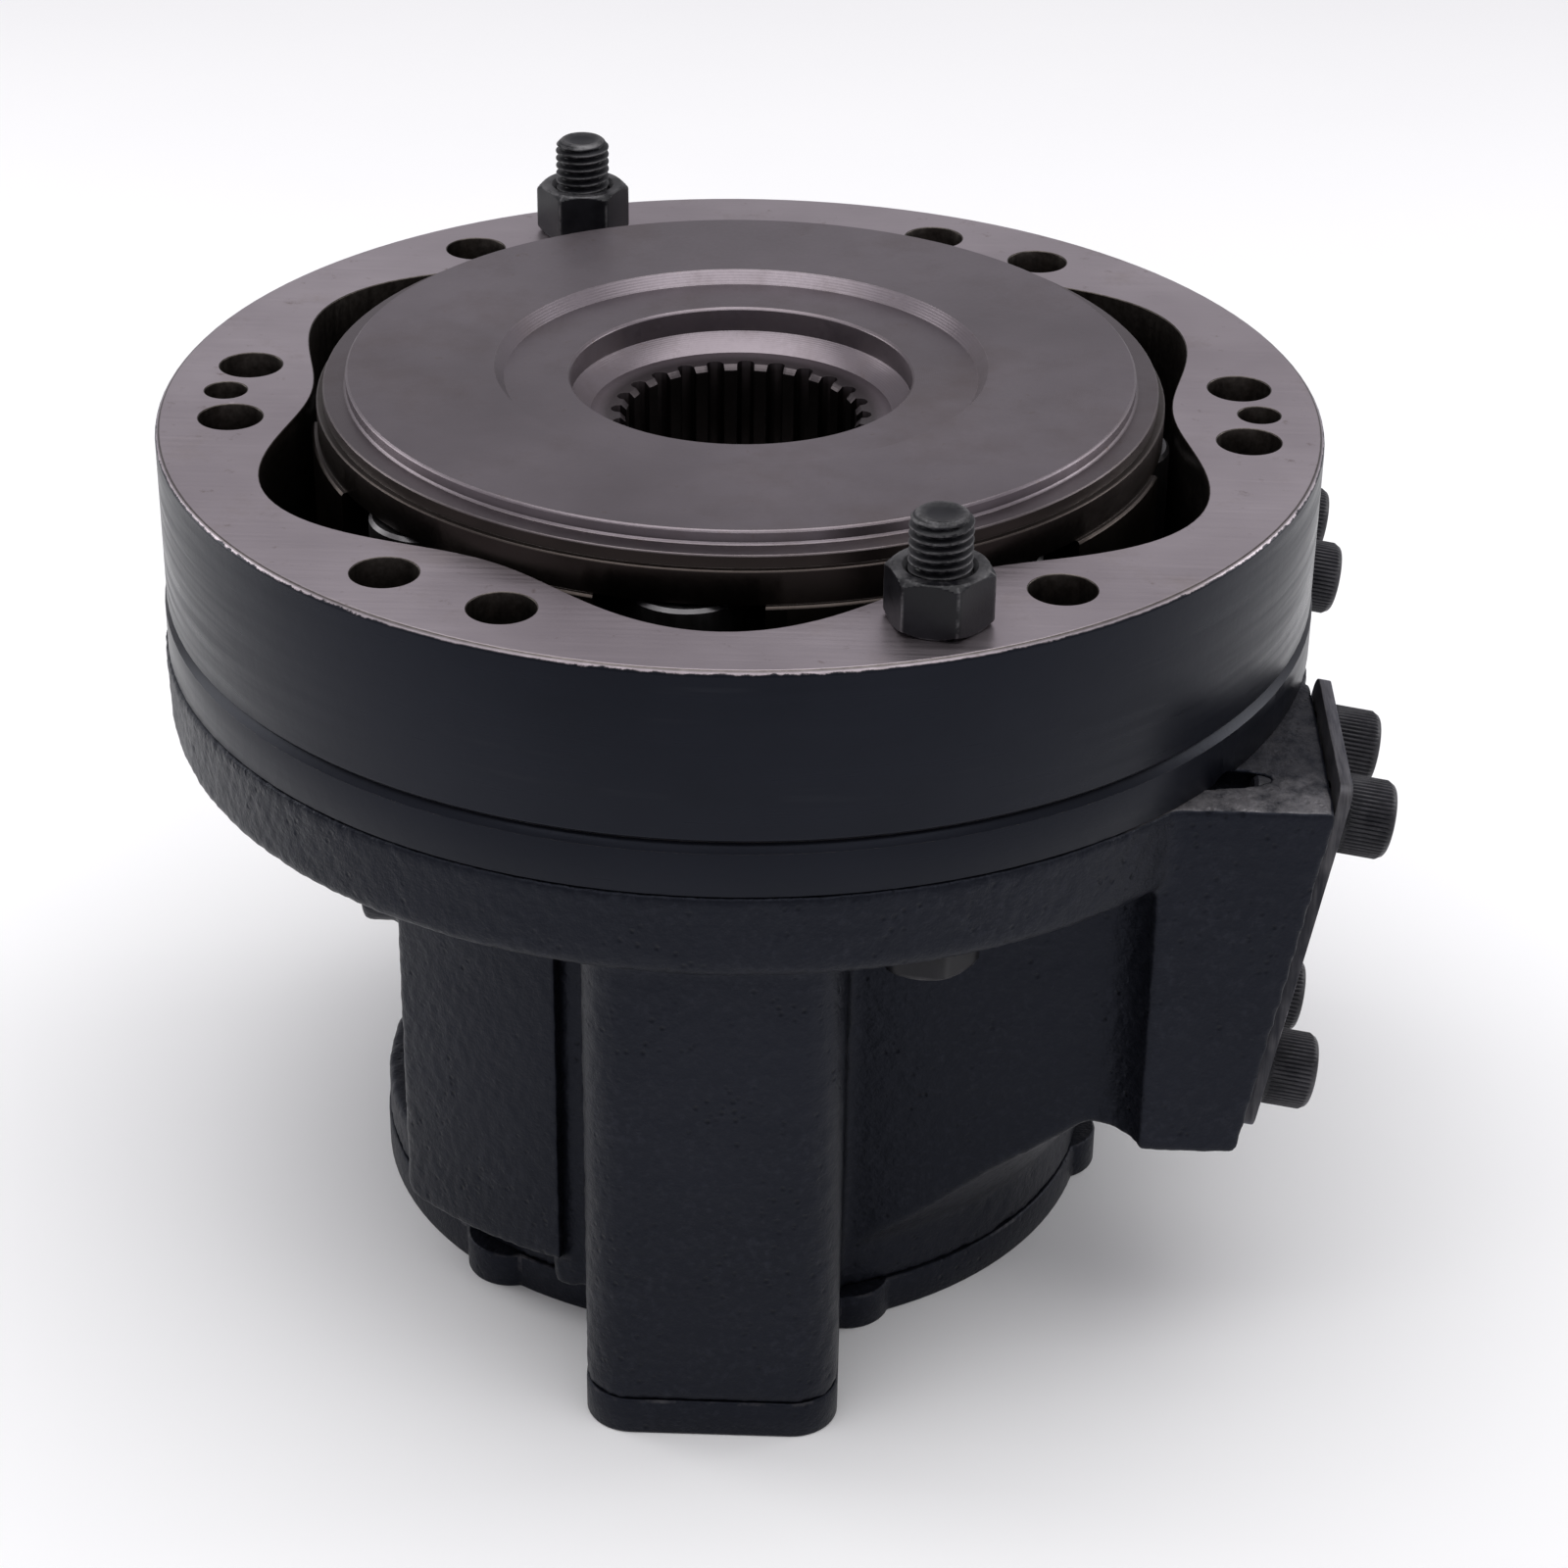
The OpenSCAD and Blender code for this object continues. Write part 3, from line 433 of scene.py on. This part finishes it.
# ---- Mesh helpers -----------------------------------------------------------------------------

def assign(material_object, material):
    material_object.data.materials.clear()
    material_object.data.materials.append(material)


def shade(mesh, angle=32.0):
    """Smooth shading with sharp creases past an angle."""
    mesh.polygons.foreach_set("use_smooth", [True] * len(mesh.polygons))
    mesh.set_sharp_from_angle(angle=math.radians(angle))


def place(obj, body, replaced=(), material=None):
    if obj.name not in bpy.context.scene.collection.objects:
        bpy.context.scene.collection.objects.link(obj)
    if material is not None:
        assign(obj, material)
    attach(obj, body)
    if replaced:
        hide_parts(*replaced)
    return obj


def grid_mesh(name, rings, segments, edge, matrices, hollow=False):
    """Closed mesh from rings about an axis, copied at each matrix.

    A ring is a pair, radius and height over the angle. The first and last rings close with a point
    each, or, where hollow, with each other. edge gives each ring's wear, from 0 to 1.
    """
    angles = np.arange(segments) * TAU / segments
    points, wear_value = [], []
    for i, (radius, height) in enumerate(rings):
        radius = np.broadcast_to(np.asarray(radius, float), segments)
        height = np.broadcast_to(np.asarray(height, float), segments)
        points.append(np.c_[radius * np.cos(angles), radius * np.sin(angles), height])
        wear_value.append(np.broadcast_to(np.asarray(edge[i], float), segments))
    count = len(rings)
    low = [0.0, 0.0, points[0][:, 2].mean()]
    high = [0.0, 0.0, points[-1][:, 2].mean()]
    ends = [] if hollow else [[low], [high]]
    one = np.vstack([*points, *ends]) * MM
    values = np.concatenate([*wear_value, *([0.0] for _ in ends)])
    faces = []
    for i in range(count if hollow else count - 1):
        a, b = i * segments, (i + 1) % count * segments
        for j in range(segments):
            k = (j + 1) % segments
            faces.append((a + j, a + k, b + k, b + j))
    base, top = count * segments, count * segments + 1
    for j in range(0 if hollow else segments):
        k = (j + 1) % segments
        faces.append((base, k, j))
        faces.append((top, (count - 1) * segments + j, (count - 1) * segments + k))
    vertices, all_faces = [], []
    for n, matrix in enumerate(matrices):
        m = np.array(matrix)
        vertices.append(one @ m[:3, :3].T + m[:3, 3])
        shift = n * len(one)
        all_faces += [tuple(v + shift for v in f) for f in faces]
    mesh = bpy.data.meshes.new(name)
    mesh.from_pydata(np.vstack(vertices).tolist(), [], all_faces)
    mesh.update()
    layer = mesh.attributes.new("edge", "FLOAT", "POINT")
    layer.data.foreach_set("value", np.tile(values, len(matrices)).astype(np.float32))
    return bpy.data.objects.new(name, mesh)


def hexagon(segments, across, turn=0.0, corner=None):
    """Radius of a hexagon over the angle, with its corners cut back to a radius."""
    angles = np.arange(segments) * TAU / segments - turn
    local = (angles + math.pi / 6) % (math.pi / 3) - math.pi / 6
    radius = across / 2 / np.cos(local)
    return radius if corner is None else np.minimum(radius, corner)


def clean_copy(node):
    """bmesh of a CAD node with its triangles joined into plain faces."""
    bm = bmesh.new()
    bm.from_mesh(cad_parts[node].data)
    bmesh.ops.remove_doubles(bm, verts=bm.verts, dist=2e-6)
    bmesh.ops.dissolve_limit(bm, angle_limit=math.radians(0.5), verts=bm.verts, edges=bm.edges)
    return bm


def rounded(bm, name, width, angle=30.0, segments=2):
    """Object whose sharp edges are rounded. The new strips carry the "edge" attribute.

    The large plain faces keep their own normal, so the rounding doesn't shade across them.
    """
    bm.normal_update()
    sharp = [e for e in bm.edges if len(e.link_faces) == 2 and e.calc_face_angle(0.0) > math.radians(angle)]
    made = bmesh.ops.bevel(
        bm, geom=sharp, offset=width * MM, offset_type="OFFSET", segments=segments,
        profile=0.5, affect="EDGES", clamp_overlap=True, harden_normals=False,
    )
    strips = set(made["faces"])
    flags = [1.0 if f in strips else 0.0 for f in bm.faces]
    mesh = bpy.data.meshes.new(name)
    bm.to_mesh(mesh)
    bm.free()
    layer = mesh.attributes.new("edge", "FLOAT", "FACE")
    layer.data.foreach_set("value", flags)
    shade(mesh, 40.0)
    flat = [flag == 0.0 and len(face.vertices) > 4 for flag, face in zip(flags, mesh.polygons)]
    mesh.polygons.foreach_set("use_smooth", [not f for f in flat])
    return bpy.data.objects.new(name, mesh)


def dressed(node, body, material, width=0.35, angle=30.0, segments=2):
    """Rounded copy of a CAD node that stands for it."""
    obj = rounded(clean_copy(node), node + "_finish", width, angle, segments)
    return place(obj, body, (node,), material)


def matrix_from(origin, z_axis, x_axis):
    z = Vector(z_axis).normalized()
    x = Vector(x_axis)
    x = (x - x.dot(z) * z).normalized()
    y = z.cross(x)
    return Matrix((
        (x.x, y.x, z.x, origin[0]),
        (x.y, y.y, z.y, origin[1]),
        (x.z, y.z, z.z, origin[2]),
        (0.0, 0.0, 0.0, 1.0),
    ))


# ---- Camera, light and floor ------------------------------------------------------------------

def camera():
    data = bpy.data.cameras.new("camera")
    data.lens = 84.69
    data.sensor_width = 36.0
    data.clip_start = 0.05
    cam = bpy.data.objects.new("camera", data)
    bpy.context.scene.collection.objects.link(cam)
    right = Vector((0.99944, 0.03069, 0.01297)).normalized()
    forward = Vector((-0.02034, 0.87031, -0.49208)).normalized()
    up = right.cross(forward)
    cam.matrix_world = Matrix((
        (right.x, up.x, -forward.x, 0.03033),
        (right.y, up.y, -forward.y, -0.80521),
        (right.z, up.z, -forward.z, 0.35171),
        (0.0, 0.0, 0.0, 1.0),
    ))
    bpy.context.scene.camera = cam


def area_light(name, place_at, aim, size, power, colour=(1.0, 1.0, 1.0)):
    data = bpy.data.lights.new(name, "AREA")
    data.shape = "RECTANGLE"
    data.size, data.size_y = size
    data.energy = power
    data.color = colour
    lamp = bpy.data.objects.new(name, data)
    bpy.context.scene.collection.objects.link(lamp)
    lamp.location = place_at
    lamp.rotation_mode = "QUATERNION"
    lamp.rotation_quaternion = (Vector(aim) - Vector(place_at)).to_track_quat("-Z", "Y")


def studio():
    world = bpy.data.worlds.new("studio")
    world.use_nodes = True
    background = world.node_tree.nodes["Background"]
    background.inputs["Color"].default_value = (0.97, 0.95, 1.0, 1.0)
    background.inputs["Strength"].default_value = 0.5
    bpy.context.scene.world = world
    bpy.context.scene.view_settings.view_transform = "Standard"
    area_light("top", (0.0, -0.1, 1.5), (0.0, 0.0, -0.05), (2.0, 1.6), 22.0)
    area_light("left_edge", (-1.15, 0.35, 0.35), (0.0, 0.0, -0.05), (0.5, 0.8), 3.6)
    area_light("right_edge", (1.25, 0.45, 0.40), (0.0, 0.0, -0.05), (0.4, 0.7), 3.6)
    bpy.ops.mesh.primitive_plane_add(size=1.0)
    floor = bpy.context.object
    floor.name = "floor"
    bm = bmesh.new()
    bmesh.ops.create_grid(bm, x_segments=8, y_segments=8, size=6.0)
    bm.to_mesh(floor.data)
    bm.free()
    floor.location = (0.0, 0.0, cad_box[0].z)
    g = Graph("floor_paper")
    g.set("Base Color", g.mix(g.span(g.noise(3.0), 0.3, 0.7), (0.94, 0.94, 0.945), (0.96, 0.96, 0.96)))
    g.set("Roughness", 0.85)
    assign(floor, g.material)


# ---- Casing -----------------------------------------------------------------------------------

def half_space(obj, level, keep_below):
    """Keeps the closed part of an object on one side of a level."""
    size = 0.6
    bm = bmesh.new()
    bmesh.ops.create_cube(bm, size=size)
    shift = -size / 2 if keep_below else size / 2
    bmesh.ops.translate(bm, verts=bm.verts, vec=(0.0, 0.0, level * MM + shift))
    mesh = bpy.data.meshes.new("cutter")
    bm.to_mesh(mesh)
    bm.free()
    cutter = bpy.data.objects.new("cutter", mesh)
    bpy.context.scene.collection.objects.link(cutter)
    modifier = obj.modifiers.new("cut", "BOOLEAN")
    modifier.operation = "INTERSECT"
    modifier.solver = "EXACT"
    modifier.object = cutter
    apply_modifiers(obj)
    bpy.data.objects.remove(cutter)


def apply_modifiers(obj):
    """The object's mesh becomes what its modifiers make of it."""
    if obj.name not in bpy.context.scene.collection.objects:
        bpy.context.scene.collection.objects.link(obj)
    bpy.context.view_layer.update()
    graph = bpy.context.evaluated_depsgraph_get()
    mesh = bpy.data.meshes.new_from_object(obj.evaluated_get(graph))
    obj.modifiers.clear()
    obj.data = mesh


def casing():
    """The casing's two pieces: a casting with soft rough edges, and a crisp machined band."""
    source = bpy.data.meshes.new("casing_source")
    bm = bmesh.new()
    bm.from_mesh(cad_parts["valve_casing"].data)
    bmesh.ops.remove_doubles(bm, verts=bm.verts, dist=2e-6)
    bm.to_mesh(source)
    bm.free()

    band = bpy.data.objects.new("casing_band", source.copy())
    half_space(band, BAND_BOTTOM + CUT_ABOVE, False)
    bm = bmesh.new()
    bm.from_mesh(band.data)
    bmesh.ops.remove_doubles(bm, verts=bm.verts, dist=2e-6)
    bmesh.ops.dissolve_limit(bm, angle_limit=math.radians(0.5), verts=bm.verts, edges=bm.edges)
    bpy.data.objects.remove(band)
    band = rounded(bm, "casing_band", 0.35)
    place(band, "casing", ("valve_casing",), BAND_PAINT)

    cast = bpy.data.objects.new("casing_casting", source)
    half_space(cast, BAND_BOTTOM - CUT_BELOW, True)
    voxel = cast.modifiers.new("voxel", "REMESH")
    voxel.mode = "VOXEL"
    voxel.voxel_size = 1.15 * MM
    smooth = cast.modifiers.new("smooth", "SMOOTH")
    smooth.factor = 0.5
    smooth.iterations = 7
    apply_modifiers(cast)
    roughen(cast.data)
    shade(cast.data, 180.0)
    place(cast, "casing", ("valve_casing",), CAST)


def roughen(mesh):
    """Sand-cast surface: shallow lumps pushed inwards along the normals."""
    count = len(mesh.vertices)
    co = np.zeros(count * 3, np.float32)
    mesh.vertices.foreach_get("co", co)
    co = co.reshape(-1, 3).astype(float)
    normal = np.zeros(count * 3, np.float32)
    mesh.vertices.foreach_get("normal", normal)
    normal = normal.reshape(-1, 3)
    rng = np.random.default_rng(7)
    depth = np.zeros(count)
    for wave, gain in ((14.0, 0.05), (5.5, 0.05), (3.0, 0.06)):
        total = np.zeros(count)
        for _ in range(9):
            direction = rng.normal(size=3)
            direction /= np.linalg.norm(direction)
            phase = rng.uniform(0, TAU)
            total += np.sin(co @ direction * TAU / (wave * MM) + phase)
        depth += gain * total / 3.0
    depth = np.clip(depth - 0.18, -0.5, 0.0)
    co += normal * depth[:, None] * MM
    mesh.vertices.foreach_set("co", co.astype(np.float32).ravel())
    mesh.update()


# ---- Fasteners --------------------------------------------------------------------------------

BOLT_ANGLES = ((292.6, 18.7), (112.6, 34.8))


def clamp_places():
    """Frames of the two clamp bolts at the ring's face, each turned as its nut is."""
    places = []
    for angle, turn in BOLT_ANGLES:
        a = math.radians(angle)
        radius = BOLT_CIRCLE_R * MM
        at = (radius * math.cos(a), radius * math.sin(a), 0.0)
        t = math.radians(turn)
        places.append(matrix_from(at, (0, 0, 1), (math.cos(t), math.sin(t), 0)))
    return places


def clamp_nuts():
    """M14 hexagon nuts whose corners are turned back to a cone at both ends."""
    n = 144
    across, height = 21.0, 12.8
    corner = 11.98
    hole = 7.05
    cone_start, cone_rise = 10.2, 1.45
    cone_steps = (0.0, 0.25, 0.5, 0.8, 1.1, 1.4)
    rings, edges = [], []

    def put(radius, z, value=0.0):
        rings.append((radius, z))
        edges.append(value)

    def level(limit, z, value):
        put(np.minimum(hexagon(n, across, 0.0, corner), limit), z)
        edges[-1] = np.where(hexagon(n, across) > corner, 0.9, value)

    put(hole, 2.0)
    put(8.0, 0.05, 0.2)
    put(9.8, 0.0, 0.2)
    for z in cone_steps:
        level(cone_start + cone_rise * z, z + 0.05, 0.45 if z < 0.3 else 0.0)
    for z in (3.0, 6.4, 9.8):
        level(across, z, 0.0)
    for z in reversed(cone_steps):
        level(cone_start + cone_rise * z, height - z - 0.02, 0.55 if z < 0.3 else 0.0)
    put(9.9, height, 0.5)
    put(8.1, height - 0.03, 0.3)
    put(hole, height - 1.1)
    put(hole, height - 4.0)
    obj = grid_mesh("clamp_nut_pair", rings, n, edges, clamp_places(), hollow=True)
    shade(obj.data, 24.0)
    place(obj, "casing", ("clamp_nuts",), NUT_OXIDE)


def thread_ring(n, z, major, minor, pitch, start, end_limit):
    """Radius and wear of a thread over the angle at one height. It fades in above its start."""
    angles = np.arange(n) / n
    phase = (z / pitch - angles) % 1.0
    tri = 1.0 - np.abs(2.0 * phase - 1.0)
    shape = np.clip(tri * 1.35 - 0.12, 0.0, 1.0)
    radius = minor + (major - minor) * shape
    fade = np.clip((z - start) / pitch, 0.0, 1.0)
    radius = major - (major - radius) * fade
    value = np.clip((shape - 0.82) * 4.0, 0.0, 0.8) * fade
    return np.minimum(radius, end_limit), value


def clamp_bolts():
    """M14 hexagon bolts from under the flange. Their free ends show the thread."""
    n = 72
    top = BOLT_TOP
    under = FLANGE_BOTTOM
    rings, edges = [], []

    def put(radius, z, value=0.0):
        rings.append((radius, z))
        edges.append(value)

    head = 8.8
    put(hexagon(n, 15.0), under - head)
    put(np.minimum(hexagon(n, 21.0, 0.0, 11.98), 10.2), under - head + 0.05, 0.4)
    put(np.minimum(hexagon(n, 21.0, 0.0, 11.98), 11.2), under - head + 0.6, 0.2)
    put(hexagon(n, 21.0, 0.0, 11.98), under - head + 1.3)
    put(hexagon(n, 21.0, 0.0, 11.98), under - 0.3)
    put(hexagon(n, 21.0, 0.0, 11.98), under, 0.3)
    put(6.9, under)
    put(6.9, 2.0)
    z = 4.0
    while z < top - 0.45:
        limit = 5.6 + max(0.0, top - 0.3 - z) * 0.95
        ring, value = thread_ring(n, z, 6.9, 5.72, 2.0, 4.0, limit)
        put(ring, z, value)
        z += 0.16
    put(5.5, top - 0.25, 0.7)
    put(5.1, top, 0.6)
    put(4.3, top - 0.12, 0.2)
    put(3.0, top - 0.55)
    put(1.2, top - 0.8)
    obj = grid_mesh("clamp_bolt_pair", rings, n, edges, clamp_places())
    shade(obj.data, 50.0)
    place(obj, "casing", ("clamp_bolts",), NUT_OXIDE)


def port_places(centre_y):
    """Frames of one port's four screws: +Z points out of the leaning face."""
    out = Vector((math.cos(PORT_LEAN), 0.0, -math.sin(PORT_LEAN)))
    up = Vector((math.sin(PORT_LEAN), 0.0, math.cos(PORT_LEAN)))
    centre = Vector((PORT_EDGE_X, centre_y, BAND_BOTTOM)) * MM - up * PORT_DROP * MM
    long, short = PORT_BOLTS
    places = []
    for i, (a, b) in enumerate(((1, 1), (1, -1), (-1, 1), (-1, -1))):
        at = centre + up * (a * long / 2 * MM) + Vector((0, b * short / 2 * MM, 0)) + out * 3.02 * MM
        turn = 0.9 * i + centre_y * 0.13
        side = Vector((0, math.cos(turn), 0)) + up * math.sin(turn)
        places.append(matrix_from(at, out, side))
    return places


def port_screws(name, node, centre_y):
    """M12 socket head screws: straight knurl, chamfered top, hexagon socket."""
    grooves = 54
    n = grooves * 6
    wave = np.abs(((np.arange(n) / 6.0) % 1.0) * 2.0 - 1.0)
    knurl = 9.1 - 0.42 * (1.0 - np.clip(wave * 1.5 - 0.1, 0.0, 1.0))
    crest = np.clip(wave * 1.6 - 0.6, 0.0, 1.0) * 0.5
    socket = hexagon(n, 10.0, 0.0, 5.62)
    rings, edges = [], []

    def put(radius, z, value=0.0):
        rings.append((radius, z))
        edges.append(value)

    put(4.2, -20.0)
    put(5.0, -19.2)
    put(5.0, 0.0)
    put(8.3, 0.0)
    put(8.75, 0.25, 0.2)
    put(8.85, 0.8, 0.1)
    put(8.85, 1.3)
    put(knurl, 1.7, crest)
    put(knurl, 5.8, crest)
    put(knurl, 10.3, crest)
    put(8.72, 10.9, 0.3)
    put(8.35, 11.6, 0.45)
    put(7.9, 11.95, 0.4)
    put(7.6, 12.0, 0.25)
    put(6.4, 12.0, 0.1)
    put(socket + 0.35, 11.98, 0.35)
    put(socket, 11.6, 0.3)
    put(socket, 6.2)
    put(socket * 0.6, 5.9)
    obj = grid_mesh(name, rings, n, edges, port_places(centre_y))
    shade(obj.data, 32.0)
    place(obj, "casing", (node,), SCREW_OXIDE)


# ---- Build ------------------------------------------------------------------------------------

camera()
studio()
casing()
clamp_nuts()
clamp_bolts()
port_screws("port_screws_front", "front_port_screws", FRONT_PORT_Y)
port_screws("port_screws_rear", "rear_port_screws", REAR_PORT_Y)
dressed("cam_ring", "casing", RING, 0.3)
dressed("cylinder_block", "rotor", BLOCK, 0.3)
dressed("rear_cover", "casing", CAST, 0.8)
dressed("front_port_plate", "casing", PLATE, 0.4)
dressed("rear_port_plate", "casing", PLATE, 0.4)

FINISH = {
    "piston_ring": SPRING_STEEL, "piston": PISTON_STEEL, "roller": ROLLER_STEEL,
    "distributor_seals": RUBBER, "distributor_pins": MACHINED, "distributor_spring": SPRING_STEEL,
    "distributor": LAPPED_IRON, "brake_shaft": MACHINED, "brake_friction_plates": BRONZE,
    "brake_steel_plates": SPRING_STEEL, "brake_piston_seals": RUBBER, "brake_piston": MACHINED,
    "brake_springs": SPRING_STEEL, "spool_cover_seal": RUBBER, "spool_spring": SPRING_STEEL,
    "spool": MACHINED, "rear_cover_screws": SCREW_OXIDE, "rear_cover_seal": RUBBER,
    "ring_seal": RUBBER, "locating_pins": MACHINED, "front_port_seal": RUBBER, "rear_port_seal": RUBBER,
}
for name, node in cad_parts.items():
    finish = next((m for start, m in FINISH.items() if name.startswith(start)), None)
    if finish is not None:
        assign(node, finish)
        shade(node.data, 30.0)
